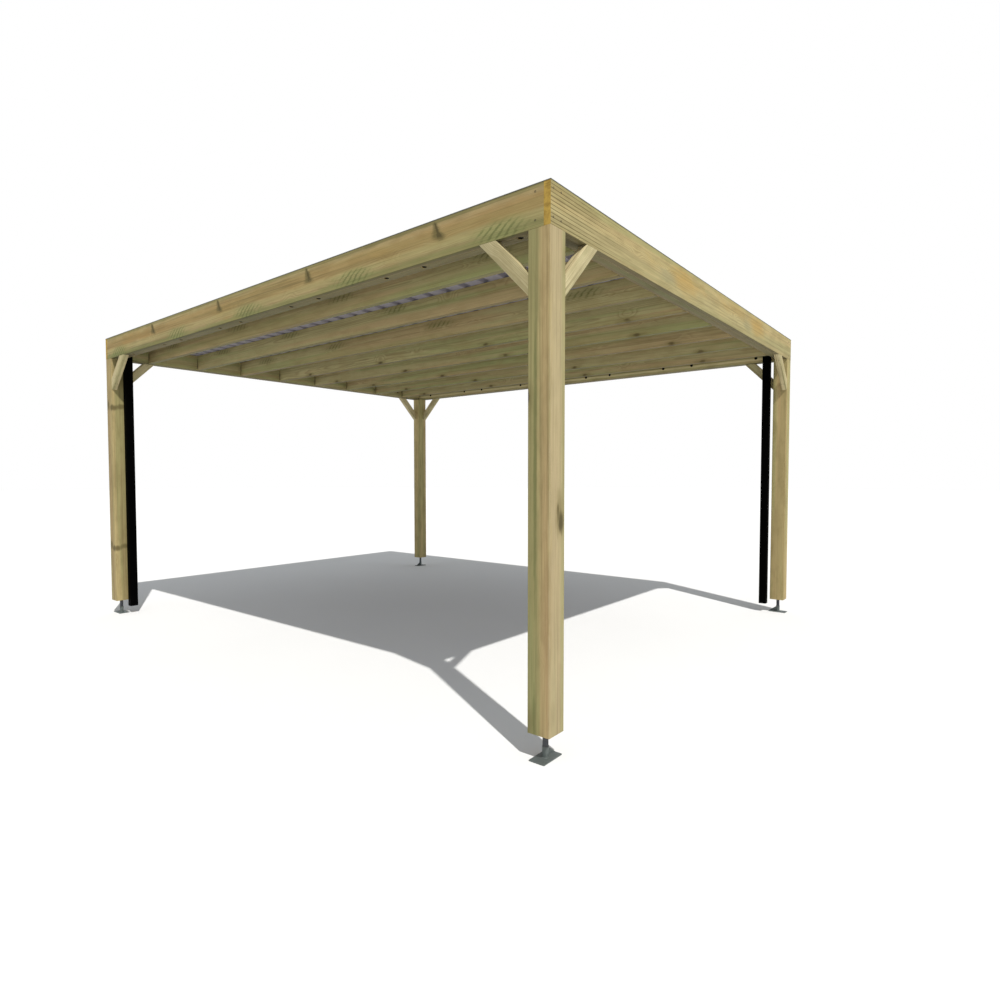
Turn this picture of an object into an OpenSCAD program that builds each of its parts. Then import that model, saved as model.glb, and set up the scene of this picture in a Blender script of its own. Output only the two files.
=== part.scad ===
// Open timber carport. Four square posts on adjustable steel feet carry a
// flat ring of fascia boards and inner beams. Joists run the long way inside
// the ring and carry ribbed steel roof sheets, which drain to a box gutter
// behind the front and the back fascia and to two square downpipes.
// Millimetres. The origin is on the ground at the middle of the plan,
// +Z is up, X runs the long way and -Y is the front.

/* [Frame] */
// Length of the roof frame over its fascia boards, along X
frame_w = 5000; // [3600:100:6000]
// Depth of the roof frame over its fascia boards, along Y
frame_d = 4050; // [3200:50:5000]
// Height of the roof frame's underside above the ground
clear_h = 2383; // [2000:1:2800]

/* [Posts] */
// Side of a square post
post_w = 120; // [100:5:160]
// Height of a post's lower end above the ground
post_lift = 122; // [100:1:180]
// Chamfer along the edges of the planed timber
eased = 3; // [1:0.5:5]

/* [Roof frame] */
// Thickness of a fascia board
fascia_t = 36; // [24:1:48]
// Height of a fascia board
fascia_h = 192; // [185:1:240]
// Thickness of an inner beam
beam_t = 57; // [40:1:80]
// Height of the inner beams and the joists
joist_h = 145; // [120:5:145]
// Thickness of a joist
joist_t = 45; // [36:1:60]
// Number of joists
joist_count = 8; // [6:1:10]
// Distance from the frame's front to the first joist
joist_front = 336; // [300:1:360]
// Distance from the frame's back to the last joist
joist_back = 390; // [320:1:400]

/* [Knee braces] */
// Width of a knee brace, across its slope
brace_w = 70; // [50:5:90]
// Thickness of a knee brace
brace_t = 45; // [30:5:60]
// Reach of a knee brace's lower edge, along the post and along the frame
brace_reach = 286; // [250:1:400]

/* [Roof sheets] */
// Number of roof sheets, side by side along X
sheet_count = 5; // [4:1:6]
// Ribs in one roof sheet
sheet_ribs = 6; // [5:1:7]
// Thickness of a roof sheet
sheet_t = 1.5; // [1:0.1:2]
// Height of a rib
rib_h = 35; // [25:1:35]
// Width of a rib's crown
rib_crown = 32; // [25:1:40]
// Run of a rib's sloping side
rib_slope = 14; // [10:1:18]
// Overlap of the roof sheets' ends over the gutters
sheet_overhang = 90; // [40:5:110]
// Gap between the outer sheets and the side fascia boards
sheet_gap = 4; // [2:1:8]
// Width of the edge trim that caps the fascia boards
trim_w = 40; // [38:1:60]
// Thickness of the edge trim
trim_t = 2; // [1:0.5:3]

/* [Gutters and downpipes] */
// Width of a box gutter
gutter_w = 150; // [120:5:180]
// Height of a box gutter
gutter_h = 54; // [45:1:60]
// Wall of a box gutter
gutter_wall = 2; // [1.5:0.5:3]
// Gap between a gutter and the roof sheets above it
gutter_gap = 3; // [2:1:6]
// Side of a square downpipe
pipe_w = 65; // [50:1:80]
// Wall of a downpipe
pipe_wall = 2.5; // [2:0.5:4]
// Chamfer along the corners of a downpipe
pipe_eased = 3; // [2:0.5:5]
// Height of the front downpipe's lower end above the ground
pipe_lift_front = 66; // [40:1:150]
// Height of the back downpipe's lower end above the ground
pipe_lift_back = 78; // [40:1:150]
// Gap between the front left post and its downpipe
pipe_gap_front = 1; // [1:1:40]
// Gap between the back right post and its downpipe
pipe_gap_back = 25; // [1:1:40]

/* [Feet] */
// Long side of a foot plate
plate_l = 150; // [120:5:180]
// Short side of a foot plate
plate_w = 86; // [70:1:110]
// Thickness of a foot plate
plate_t = 5; // [4:1:8]
// Outer diameter of the sleeve that is welded to the plate
sleeve_d = 32; // [30:1:40]
// Height of the sleeve's top above the ground
sleeve_h = 57; // [50:1:80]
// Diameter of the jack screw that lifts the post
screw_d = 28; // [20:1:28]
// Length of the jack screw inside the post
screw_seat = 80; // [50:5:120]
// Thickness of the stiffening gusset
gusset_t = 6; // [4:1:8]
// Height of the stiffening gusset on the sleeve
gusset_h = 48; // [30:1:50]

/* [Hidden] */
$fn = 48;
// Clearance between pieces that are fitted, and not glued or screwed
fit_gap = 0.3;
// Distance that a cut runs past the faces it opens
past = 1;

ring_w = fascia_t + beam_t;
joist_pitch = (frame_d - joist_front - joist_back - joist_t) / (joist_count - 1);
joist_len = frame_w - 2 * ring_w;
roof_z = clear_h + joist_h;
gutter_z = roof_z - gutter_gap - gutter_h;
gutter_len = joist_len - 2 * fit_gap;
sheet_w = (frame_w - 2 * (fascia_t + sheet_gap) - (sheet_count - 1) * fit_gap) / sheet_count;
sheet_len = frame_d - 2 * (ring_w + gutter_w - sheet_overhang);
rib_pitch = sheet_w / sheet_ribs;
timber_green = "#a7a06c";
timber_tan = "#b3a273";
timber_shade = "#7d7450";
end_grain = "#a58b3c";

// Corners of the plan: name, side along X, side along Y, and whether the
// foot plate lies the long way along X
CORNERS = [
    ["front_left", -1, -1, true],
    ["front_right", 1, -1, false],
    ["back_left", -1, 1, false],
    ["back_right", 1, 1, true]
];

function corner_nodes(what) = [for (c = CORNERS) str(what, "_", c[0])];
function counted_nodes(what, count) = [for (i = [1:count]) str(what, "_", i)];

// A rectangle from the origin with small chamfers at its four corners
module eased_rectangle(w, h, cut) {
    polygon([
        [cut, 0], [w - cut, 0], [w, cut], [w, h - cut],
        [w - cut, h], [cut, h], [0, h - cut], [0, cut]
    ]);
}

// A planed timber along +X from the origin, t thick along Y and h high
module timber_x(len, t, h) {
    rotate([90, 0, 90]) linear_extrude(len) eased_rectangle(t, h, eased);
}

// A planed timber along +Y from the origin, t thick along X and h high
module timber_y(len, t, h) {
    translate([t, 0, 0]) rotate([0, 0, 90]) timber_x(len, t, h);
}

// Moves a shape drawn for the front left corner to another corner
module at_corner(c) {
    flip_x = c[1] < 0 ? 0 : 1;
    flip_y = c[2] < 0 ? 0 : 1;
    mirror([flip_x, 0, 0]) mirror([0, flip_y, 0])
        translate([-frame_w / 2, -frame_d / 2, 0]) children();
}

// Turns a shape drawn about the post's centre line with its plate along X
module turn_foot(c) {
    at_corner(c) translate([post_w / 2, post_w / 2, 0])
        rotate([0, 0, c[3] ? 0 : 90]) children();
}

// A triangular gusset from the sleeve to the plate's inward end, along +X
module gusset() {
    reach = plate_l / 2;
    translate([0, gusset_t / 2, 0]) rotate([90, 0, 0]) linear_extrude(gusset_t)
        polygon([[0, 0], [reach, 0], [reach, plate_t + 1], [sleeve_d / 2, gusset_h], [0, gusset_h]]);
}

module foot(c) {
    color("dimgray") turn_foot(c) difference() {
        union() {
            translate([-plate_l / 2, -plate_w / 2, 0]) cube([plate_l, plate_w, plate_t]);
            cylinder(h = sleeve_h, d = sleeve_d);
            gusset();
        }
        translate([0, 0, plate_t]) cylinder(h = sleeve_h, d = screw_d + 2 * fit_gap);
    }
}

module jack_screw(c) {
    color("slategray") turn_foot(c) translate([0, 0, plate_t])
        cylinder(h = post_lift + screw_seat - plate_t, d = screw_d);
}

module post(c) {
    color(timber_tan) at_corner(c) difference() {
        translate([0, 0, post_lift])
            linear_extrude(clear_h - post_lift) eased_rectangle(post_w, post_w, eased);
        translate([post_w / 2, post_w / 2, post_lift - past])
            cylinder(h = screw_seat + past, d = screw_d + 2 * fit_gap);
    }
}

// A knee brace in the corner between a post and the frame above it, drawn
// along +X from the post's inner face and flush with the outer face
module knee_brace() {
    cut = brace_w * sqrt(2);
    translate([post_w, brace_t, clear_h]) rotate([90, 0, 0]) linear_extrude(brace_t)
        polygon([[0, -brace_reach], [brace_reach, 0], [brace_reach - cut, 0], [0, cut - brace_reach]]);
}

module long_brace(c) {
    color(timber_tan) at_corner(c) knee_brace();
}

module short_brace(c) {
    color(timber_tan) at_corner(c) mirror([1, -1, 0]) knee_brace();
}

module fascia_front() {
    color(timber_green) translate([fascia_t - frame_w / 2, -frame_d / 2, clear_h])
        timber_x(frame_w - 2 * fascia_t, fascia_t, fascia_h);
}

module fascia_back() {
    mirror([0, 1, 0]) fascia_front();
}

module fascia_left() {
    color(end_grain) translate([-frame_w / 2, -frame_d / 2, clear_h])
        timber_y(frame_d, fascia_t, fascia_h);
}

module fascia_right() {
    mirror([1, 0, 0]) fascia_left();
}

module beam_front() {
    color(timber_shade) translate([-joist_len / 2, fascia_t - frame_d / 2, clear_h])
        timber_x(joist_len, beam_t, joist_h);
}

module beam_back() {
    mirror([0, 1, 0]) beam_front();
}

module beam_left() {
    color(timber_shade) translate([fascia_t - frame_w / 2, fascia_t - frame_d / 2, clear_h])
        timber_y(frame_d - 2 * fascia_t, beam_t, joist_h);
}

module beam_right() {
    mirror([1, 0, 0]) beam_left();
}

module joist(number) {
    front_y = joist_front - frame_d / 2 + (number - 1) * joist_pitch;
    color(timber_shade) translate([-joist_len / 2, front_y, clear_h])
        timber_x(joist_len, joist_t, joist_h);
}

// Outline of a ribbed sheet, from the middle of one crown to the middle of
// another: the underside from left to right, then the top side back again
function sheet_outline() = let (
    corner = sheet_t * tan(atan2(rib_h, rib_slope) / 2),
    half = rib_crown / 2
) concat(
    [[0, rib_h]],
    [for (i = [0:sheet_ribs - 1]) for (p = [
        [half, rib_h],
        [half + rib_slope, 0],
        [rib_pitch - half - rib_slope, 0],
        [rib_pitch - half, rib_h]
    ]) p + [i * rib_pitch, 0]],
    [[sheet_w, rib_h], [sheet_w, rib_h + sheet_t]],
    [for (i = [sheet_ribs - 1:-1:0]) for (p = [
        [rib_pitch - half - corner, rib_h + sheet_t],
        [rib_pitch - half - rib_slope - corner, sheet_t],
        [half + rib_slope + corner, sheet_t],
        [half + corner, rib_h + sheet_t]
    ]) p + [i * rib_pitch, 0]],
    [[0, rib_h + sheet_t]]
);

module roof_sheet(number) {
    left_x = fascia_t + sheet_gap - frame_w / 2 + (number - 1) * (sheet_w + fit_gap);
    color("slategray") translate([left_x, sheet_len / 2, roof_z])
        rotate([90, 0, 0]) linear_extrude(sheet_len) polygon(sheet_outline());
}

module roof_edge_trim() {
    color("dimgray") translate([0, 0, clear_h + fascia_h]) linear_extrude(trim_t) difference() {
        square([frame_w, frame_d], center = true);
        square([frame_w - 2 * trim_w, frame_d - 2 * trim_w], center = true);
    }
}

// A square pipe section standing on the ground plane, drawn by its outside
module pipe_section(len, side, cut) {
    linear_extrude(len) eased_rectangle(side, side, cut);
}

// The plan position of a downpipe in a front left corner
function pipe_place(gap) = [post_w + gap, ring_w + fit_gap + gutter_wall];

// A box gutter along the front, with its outlet over the front left pipe
module gutter(gap) {
    place = pipe_place(gap);
    bore = pipe_w - 2 * pipe_wall;
    translate([-frame_w / 2, -frame_d / 2, 0]) difference() {
        translate([ring_w + fit_gap, ring_w + fit_gap, gutter_z])
            cube([gutter_len, gutter_w, gutter_h]);
        translate([ring_w + fit_gap + gutter_wall, ring_w + fit_gap + gutter_wall, gutter_z + gutter_wall])
            cube([gutter_len - 2 * gutter_wall, gutter_w - 2 * gutter_wall, gutter_h]);
        translate([place[0] + pipe_wall, place[1] + pipe_wall, gutter_z - past])
            cube([bore, bore, gutter_wall + 2 * past]);
    }
}

// A square downpipe from below the front left gutter almost to the ground
module downpipe(gap, lift) {
    place = pipe_place(gap);
    pipe_len = gutter_z - lift;
    translate([place[0] - frame_w / 2, place[1] - frame_d / 2, lift]) difference() {
        pipe_section(pipe_len, pipe_w, pipe_eased);
        translate([pipe_wall, pipe_wall, -past])
            pipe_section(pipe_len + 2 * past, pipe_w - 2 * pipe_wall, pipe_eased - past);
    }
}

module gutter_front() {
    color("gray") gutter(pipe_gap_front);
}

module gutter_back() {
    color("gray") rotate([0, 0, 180]) gutter(pipe_gap_back);
}

module downpipe_front_left() {
    color("black") downpipe(pipe_gap_front, pipe_lift_front);
}

module downpipe_back_right() {
    color("black") rotate([0, 0, 180]) downpipe(pipe_gap_back, pipe_lift_back);
}

for (c = CORNERS) {
    foot(c);
    jack_screw(c);
    post(c);
    long_brace(c);
    short_brace(c);
}
fascia_front();
fascia_back();
fascia_left();
fascia_right();
beam_front();
beam_back();
beam_left();
beam_right();
for (number = [1:joist_count]) {
    joist(number);
}
for (number = [1:sheet_count]) {
    roof_sheet(number);
}
roof_edge_trim();
gutter_front();
gutter_back();
downpipe_front_left();
downpipe_back_right();
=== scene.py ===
# %% [markdown]
# # An open timber carport
# A carport of planed, pressure-treated pine. Four square posts stand on steel
# feet and carry a ring of deep fascia boards, with joists, a ribbed steel roof
# and two black downpipes inside it. The packed model already holds the true
# sizes and places, so this lesson loads it as a fixed frame and gives each
# piece the shape and the finish of the real one.

# %% Load the frame
import math
import random

import bmesh
import bpy
from mathutils import Matrix, Vector


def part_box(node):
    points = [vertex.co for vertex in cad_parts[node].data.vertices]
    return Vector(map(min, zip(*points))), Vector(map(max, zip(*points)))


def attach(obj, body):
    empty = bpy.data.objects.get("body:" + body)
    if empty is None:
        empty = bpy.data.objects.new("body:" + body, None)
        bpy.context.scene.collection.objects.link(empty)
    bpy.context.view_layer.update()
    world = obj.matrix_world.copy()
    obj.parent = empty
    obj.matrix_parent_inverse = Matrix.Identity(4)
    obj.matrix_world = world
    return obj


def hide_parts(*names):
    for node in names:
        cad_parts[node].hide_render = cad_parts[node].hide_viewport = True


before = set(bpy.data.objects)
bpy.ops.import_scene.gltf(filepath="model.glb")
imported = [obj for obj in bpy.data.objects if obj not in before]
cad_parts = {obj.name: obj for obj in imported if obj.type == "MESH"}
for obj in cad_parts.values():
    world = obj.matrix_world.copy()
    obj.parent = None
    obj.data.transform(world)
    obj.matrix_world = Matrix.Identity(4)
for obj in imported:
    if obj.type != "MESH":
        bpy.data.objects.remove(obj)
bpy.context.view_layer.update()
MM = 0.001

# %% [markdown]
# ## Reading sizes from the frame
# Every place below comes from the frame's own boxes. The ring's outline, its
# underside and its top are used most, so they are read once here.

# %% Read the main sizes
RING_LOW, RING_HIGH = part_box("fascia_left")[0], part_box("fascia_right")[1]
RING_BOTTOM, RING_TOP = RING_LOW.z, RING_HIGH.z
HALF_X, HALF_Y = RING_HIGH.x, RING_HIGH.y
CORNERS = {"front_left": (-1, -1), "front_right": (1, -1),
           "back_left": (-1, 1), "back_right": (1, 1)}
AXES = [Vector((1, 0, 0)), Vector((0, 1, 0)), Vector((0, 0, 1))]
JOISTS = sorted(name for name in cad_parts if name.startswith("joist_"))
SHEETS = sorted(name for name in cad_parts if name.startswith("roof_sheet_"))
RING_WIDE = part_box("beam_front")[1].y - RING_LOW.y
print("ring", round(2 * HALF_X, 3), "by", round(2 * HALF_Y, 3), "m, underside at",
      round(RING_BOTTOM, 3))

# %% [markdown]
# ## Shader maths in plain Python
# Node trees are easier to read as formulas. The class below wraps one socket
# and gives it Python's own operators, so that `1 - mask * 0.5` adds its Math
# nodes by itself. Every other kind of node comes from one method, which takes
# the node's type, its settings and the values or links of its sockets.

# %% A socket with operators
class Wire:
    """One output of a node, which can be used in formulas."""

    def __init__(self, finish, socket):
        self.finish, self.socket = finish, socket

    def maths(self, operation, *values):
        return self.finish.node("ShaderNodeMath", {"operation": operation}, dict(enumerate(values)))

    def __add__(self, other):
        return self.maths("ADD", self, other)

    def __sub__(self, other):
        return self.maths("SUBTRACT", self, other)

    def __rsub__(self, other):
        return self.maths("SUBTRACT", other, self)

    def __mul__(self, other):
        return self.maths("MULTIPLY", self, other)

    def __truediv__(self, other):
        return self.maths("DIVIDE", self, other)

    def __rtruediv__(self, other):
        return self.maths("DIVIDE", other, self)

    def __pow__(self, other):
        return self.maths("POWER", self, other)

    def __abs__(self):
        return self.maths("ABSOLUTE", self)

    __radd__, __rmul__ = __add__, __mul__


print("a wire takes + - * / ** and abs")

# %% A finish: one material and its nodes
class Finish:
    """A material under construction. Constants go straight to the shader."""

    def __init__(self, name, **constants):
        self.material = bpy.data.materials.new(name)
        self.material.use_nodes = True
        self.nodes = self.material.node_tree.nodes
        self.links = self.material.node_tree.links
        self.shader = self.nodes["Principled BSDF"]
        for socket, value in constants.items():
            self.shader.inputs[socket.replace("_", " ")].default_value = value

    def node(self, kind, settings=None, sockets=None, out=0):
        made = self.nodes.new(kind)
        for name, value in (settings or {}).items():
            setattr(made, name, value)
        for key, value in (sockets or {}).items():
            self.join(value, made.inputs[key])
        return Wire(self, made.outputs[out])

    def join(self, value, socket):
        if isinstance(value, Wire):
            self.links.new(value.socket, socket)
        else:
            socket.default_value = value

    def surface(self, **sockets):
        for name, value in sockets.items():
            self.join(value, self.shader.inputs[name.replace("_", " ")])
        return self.material


print("a finish starts from one Principled shader")

# %% [markdown]
# ## Colours, noise and soft steps
# Colours are easiest to choose as the usual six-digit codes, but a shader
# works in linear light, so a small function converts them. Noise gives the
# irregular parts of every finish, and a soft step turns a noise into a mask.

# %% Helpers for patterns
def chance(name):
    """A random source that gives the same numbers for the same piece."""
    return random.Random("carport " + name)


def colour(code):
    """A six-digit sRGB code as linear light with full alpha."""
    parts = [int(code[i:i + 2], 16) / 255 for i in (0, 2, 4)]
    return [p / 12.92 if p <= 0.04045 else ((p + 0.055) / 1.055) ** 2.4 for p in parts] + [1.0]


def noise(finish, place, scale=1.0, detail=2.0, rough=0.5, out=0):
    sockets = {"Vector": place, "Scale": scale, "Detail": detail, "Roughness": rough}
    return finish.node("ShaderNodeTexNoise", {}, sockets, out)


def soft_step(value, low, high):
    """0 below low, 1 above high and a smooth run between them."""
    sockets = {"Value": value, "From Min": low, "From Max": high}
    return value.finish.node("ShaderNodeMapRange", {"interpolation_type": "SMOOTHSTEP"}, sockets)


def mix(finish, factor, first, second, blend="MIX"):
    settings = {"data_type": "RGBA", "blend_type": blend}
    return finish.node("ShaderNodeMix", settings, {0: factor, 6: first, 7: second}, 2)


def vector(finish, x, y, z):
    return finish.node("ShaderNodeCombineXYZ", {}, {0: x, 1: y, 2: z})


def vector_maths(finish, operation, first, second, out=0):
    return finish.node("ShaderNodeVectorMath", {"operation": operation}, {0: first, 1: second}, out)


def bump(finish, height, strength, distance):
    sockets = {"Height": height, "Strength": strength, "Distance": distance}
    return finish.node("ShaderNodeBump", {}, sockets)


def three_axes(finish, place):
    """The X, Y and Z of a vector, as three wires."""
    return [finish.node("ShaderNodeSeparateXYZ", {}, {0: place}, axis) for axis in range(3)]


print("amber as linear light:", [round(c, 3) for c in colour("A58B3C")])

# %% [markdown]
# ## Pressure-treated pine
# A planed board is a slice of a tree. Its growth rings are shells around the
# pith, a line that runs near the board or inside it, so the board shows arches
# on a flat face, straight lines on a side and rings on its end. A solid
# pattern does all three at once: it measures the distance from the pith and
# turns it into rings. Each board gets its own pith and its own piece of the
# noise. The green of the treatment and the pink of the heartwood lie in long
# streaks along the grain, and knots push the rings aside.

# %% The growth rings
RING_WIDTH = 4.2 * MM
KNOT_CELL = 0.10
KNOT_RADIUS = 0.019


def along_grain(finish, grain, pith):
    """Coordinates with X along the grain and the pith at zero, as three wires."""
    place = finish.node("ShaderNodeTexCoord", out="Object")
    up = "Y" if abs(grain.z) > 0.9 else "Z"
    turn = grain.to_track_quat("X", up).to_euler()
    local = finish.node("ShaderNodeMapping", {"vector_type": "TEXTURE"},
                        {"Vector": place, "Location": pith, "Rotation": turn})
    return three_axes(finish, local)


def knots(finish, u, v, w, seed, spacing, amount):
    """Distance to the nearest knot's centre in metres, and the knot's radius."""
    cell = vector(finish, u * (1 / spacing) + seed, v * (1 / KNOT_CELL) + seed,
                  w * (1 / KNOT_CELL))
    settings = {"feature": "F1", "voronoi_dimensions": "3D"}
    sockets = {"Vector": cell, "Scale": 1.0, "Randomness": 0.9}
    centre = finish.node("ShaderNodeTexVoronoi", settings, sockets, "Position")
    luck = finish.node("ShaderNodeTexVoronoi", settings, sockets, "Color")
    luck = finish.node("ShaderNodeSeparateColor", {}, {0: luck}, 0)
    offset = vector_maths(finish, "SUBTRACT", cell, centre)
    offset = vector_maths(finish, "MULTIPLY", offset, (spacing * 0.45, KNOT_CELL, KNOT_CELL))
    distance = finish.node("ShaderNodeVectorMath", {"operation": "LENGTH"}, {0: offset}, "Value")
    radius = soft_step(luck, 1 - amount, 1.0) * KNOT_RADIUS
    return distance, radius


def rings(finish, u, v, w, seed, distance):
    """Late wood as a mask: 1 in the dark lines of the growth rings."""
    slow = vector(finish, u * 0.55 + seed, v * 5.0, w * 5.0 + seed)
    drift = noise(finish, slow, detail=2.5, out="Color")
    drift_v = finish.node("ShaderNodeSeparateColor", {}, {0: drift}, 0) - 0.5
    drift_w = finish.node("ShaderNodeSeparateColor", {}, {0: drift}, 1) - 0.5
    across = (v + drift_v * 0.05) ** 2 + (w + drift_w * 0.05) ** 2
    pushed = across ** 0.5 + (1 - soft_step(distance, 0.0, 0.05)) * 0.014
    years = pushed / RING_WIDTH
    years = years + noise(finish, vector(finish, pushed * 40, seed, 0.0)) * 2.0
    part = years.maths("FRACT", years)
    return soft_step(part, 0.30, 0.88) * (1 - soft_step(part, 0.93, 1.0))


print("rings", round(RING_WIDTH / MM, 1), "mm wide, knots up to", round(2 * KNOT_RADIUS / MM), "mm")

# %% [markdown]
# ## Stains with a place of their own
# Some marks belong to one spot of one board: a branch knot cut lengthwise, a
# patch of curly grain, a pale strip. Painted shade at the dark ends of joists and
# side beams is laid the same way. Each is a shape of colour in the object's own
# space, and a noise stretched along the grain breaks its edge. A shape is a
# function that gets the place and that noise and returns a mask.

# %% Shapes for stains
def patch(centre, size):
    """An ellipsoid. It is long and thin for a streak."""
    def mask(place, rough):
        parts = [(place[i] - centre[i]) / size[i] for i in range(3)]
        far = (parts[0] * parts[0] + parts[1] * parts[1] + parts[2] * parts[2]) ** 0.5
        return 1 - soft_step(far + (rough - 0.5) * 1.3, 0.35, 1.25)
    return mask


def curls(centre, size, pitch=0.05):
    """Short dark strokes that cross the grain and lean over with height."""
    def mask(place, rough):
        up = place[2] - (centre[2] - size[2])
        run = place[0] + place[1] - up * 0.5 - up * up * 6 + (rough - 0.5) * 0.05
        stroke = run.maths("SINE", run * (2 * math.pi / pitch))
        return patch(centre, size)(place, rough) * soft_step(stroke, 0.0, 0.9)
    return mask


def spike(top, tall, wide, lean):
    """A branch knot cut along its length: a wedge that opens downwards."""
    def mask(place, rough):
        down = (top[2] - place[2]) / tall
        across = abs(place[0] - top[0] - down * lean)
        side = 1 - soft_step(across / (down * wide + wide * 0.3) + (rough - 0.5) * 1.6, 0.3, 1.2)
        foot = 1 - soft_step(down + (rough - 0.5) * 0.8, 0.75, 1.15)
        near = 1 - soft_step(abs(place[1] - top[1]), 0.020, 0.030)
        return side * (soft_step(down, -0.05, 0.15) * foot) * near
    return mask


def stained(f, tone, rough, stains):
    """Lays the stains and the painted shade of one board over its colour, in order."""
    if stains:
        place = three_axes(f, f.node("ShaderNodeTexCoord", out="Object"))
    for code, strength, shape in stains:
        tone = mix(f, shape(place, rough) * strength, tone, colour(code))
    return tone


print("three shapes: patch, curls and spike")

# %% The timber finish
def timber(name, grain, pith, seed, pale, dark, green, pink, amber=0.0, knot_amount=0.6,
           knot_spacing=0.42, level=1.0, shade=1.0, lines=0.32, late_share=0.55, stains=()):
    """A finish for one board. Green, pink and amber are the shares of each tint."""
    f = Finish(name, Specular_IOR_Level=0.3)
    u, v, w = along_grain(f, grain, pith)
    distance, radius = knots(f, u, v, w, seed, knot_spacing, knot_amount)
    late = rings(f, u, v, w, seed, distance)
    # broad streaks along the grain: two noises that hardly change along it
    broad = noise(f, vector(f, u * 0.30 + seed, v * 13, w * 13), detail=2.0, rough=0.6)
    second = noise(f, vector(f, u * 0.45, v * 11 + seed, w * 11 + 5), detail=2.5, rough=0.6)
    cloud = noise(f, vector(f, u * 1.6, v * 5 + seed, w * 5 + 9), detail=3.0, rough=0.6)
    blotch = noise(f, vector(f, u * 5 + seed, v * 15, w * 15 + 3), detail=4.0, rough=0.6)
    fibre = noise(f, vector(f, u * 7 + seed, v * 240, w * 240), detail=2.0, rough=0.7)
    line = noise(f, vector(f, u * 0.8 + seed, v * 75, w * 75), detail=2.0, rough=0.6)
    coarse = noise(f, vector(f, u * 0.6 + seed, v * 34, w * 34), detail=2.0, rough=0.6)
    ragged = noise(f, vector(f, u * 9 + seed, v * 45, w * 45), detail=4.0, rough=0.65)
    tone = mix(f, late * late_share, colour(pale), colour(dark))
    tone = mix(f, soft_step(broad, 0.47, 0.60) * green, tone, colour("7F8A55"))
    tone = mix(f, soft_step(second, 0.46, 0.60) * pink, tone, colour("A3795A"))
    tone = mix(f, soft_step(cloud, 0.50, 0.68) * amber, tone, colour("B8913F"))
    tone = mix(f, soft_step(blotch, 0.42, 0.66) * 0.30, tone, colour("7B6C42"))
    # the stains include painted shade at the ends of joists and side beams
    tone = stained(f, tone, ragged, stains)
    tone = mix(f, soft_step(coarse, 0.52, 0.66) * lines * 0.8, tone, colour("746B44"))
    tone = mix(f, soft_step(line, 0.53, 0.66) * lines, tone, colour("645B36"))
    tone = mix(f, soft_step(fibre, 0.35, 0.75) * 0.16, tone, colour("6A5C36"))
    # a knot: a dark rim, a brown heart and a stained halo drawn out by the grain
    halo = (1 - soft_step(distance, 0.006, 0.055)) * soft_step(radius, 0.001, 0.008)
    tone = mix(f, halo * 0.6, tone, colour("6E643A"))
    inside = soft_step(radius - distance, -0.0025, 0.0015)
    heart = soft_step(radius - distance, 0.002, 0.006)
    knot_tone = mix(f, heart, colour("40351F"), colour("6B5731"))
    tone = mix(f, inside * soft_step(radius, 0.001, 0.006) * 0.9, tone, knot_tone)
    # sawn ends show the rings and take up more of the treatment
    facing = f.node("ShaderNodeTexCoord", out="Normal")
    end = vector_maths(f, "DOT_PRODUCT", facing, tuple(grain), "Value")
    end = soft_step(abs(end), 0.75, 0.85)
    blot = soft_step(noise(f, vector(f, u * 3, v * 24 + seed, w * 24), detail=3.0), 0.42, 0.62)
    end_tone = mix(f, late * 0.45 + blot * 0.4, colour("C4A24B"), colour("73591F"))
    tone = mix(f, end, tone, end_tone)
    # painted shade: faces turned down are darkened towards 2C2813 by 1 - shade, standing in for the
    # shade under the boards
    painted_underside_shade = soft_step(f.node("ShaderNodeSeparateXYZ", {}, {0: facing}, 2), -0.5, -0.8)
    tone = mix(f, painted_underside_shade * (1 - shade), tone, colour("2C2813"))
    tone = mix(f, 1.0, tone, [level, level, level, 1.0], "MULTIPLY")
    height = late * -0.35 + fibre * 0.5 + inside * 0.5
    return f.surface(Base_Color=tone, Roughness=0.68 + fibre * 0.22 - late * 0.06,
                     Normal=bump(f, height, 0.35, 0.8 * MM))


print("timber:", timber.__doc__)

# %% [markdown]
# ## Boards with eased edges
# Planed timber leaves the mill with its long edges rounded to about three
# millimetres, and it is that small round which catches the light. A board
# starts as a cube that is stretched to its node's box, and bevel rounds its
# four long edges. The ends stay as the saw left them.

# %% From a bmesh to a piece
SHARP_ANGLE = math.radians(35)


def in_scene(name, data):
    """A new object for a mesh, a lamp or a camera, linked to the scene."""
    made = bpy.data.objects.new(name, data)
    bpy.context.scene.collection.objects.link(made)
    return made


def mesh_of(bm, name):
    mesh = bpy.data.meshes.new(name)
    bm.to_mesh(mesh)
    bm.free()
    return mesh


def keep(bm, name, finish, slot, *nodes):
    """Makes a finished piece of a bmesh, on the one body, for these nodes."""
    mesh = mesh_of(bm, name)
    mesh.materials.append(finish)
    mesh.shade_smooth()
    mesh.set_sharp_from_angle(angle=SHARP_ANGLE)
    piece = in_scene(name, mesh)
    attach(piece, "root")
    if nodes:
        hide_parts(*nodes)
    return piece


print("edges sharper than", round(math.degrees(SHARP_ANGLE)), "degrees stay crisp")


# %% Helpers for shapes
def long_edges(bm, grain):
    """The edges that run along the grain."""
    def share(edge):
        return abs((edge.verts[1].co - edge.verts[0].co).normalized().dot(grain))
    return [edge for edge in bm.edges if share(edge) > 0.99]


def round_edges(bm, edges, radius, segments=3):
    bmesh.ops.bevel(bm, geom=edges, offset=radius, offset_type="OFFSET", affect="EDGES",
                    segments=segments, profile=0.5, material=-1)


def verts_in(geom):
    """The vertices among what an operator made."""
    return [g for g in geom if isinstance(g, bmesh.types.BMVert)]


def aimed(point, direction):
    """A place at a point, with its Z turned along a direction."""
    return Matrix.Translation(point) @ direction.to_track_quat("Z", "Y").to_matrix().to_4x4()


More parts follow.
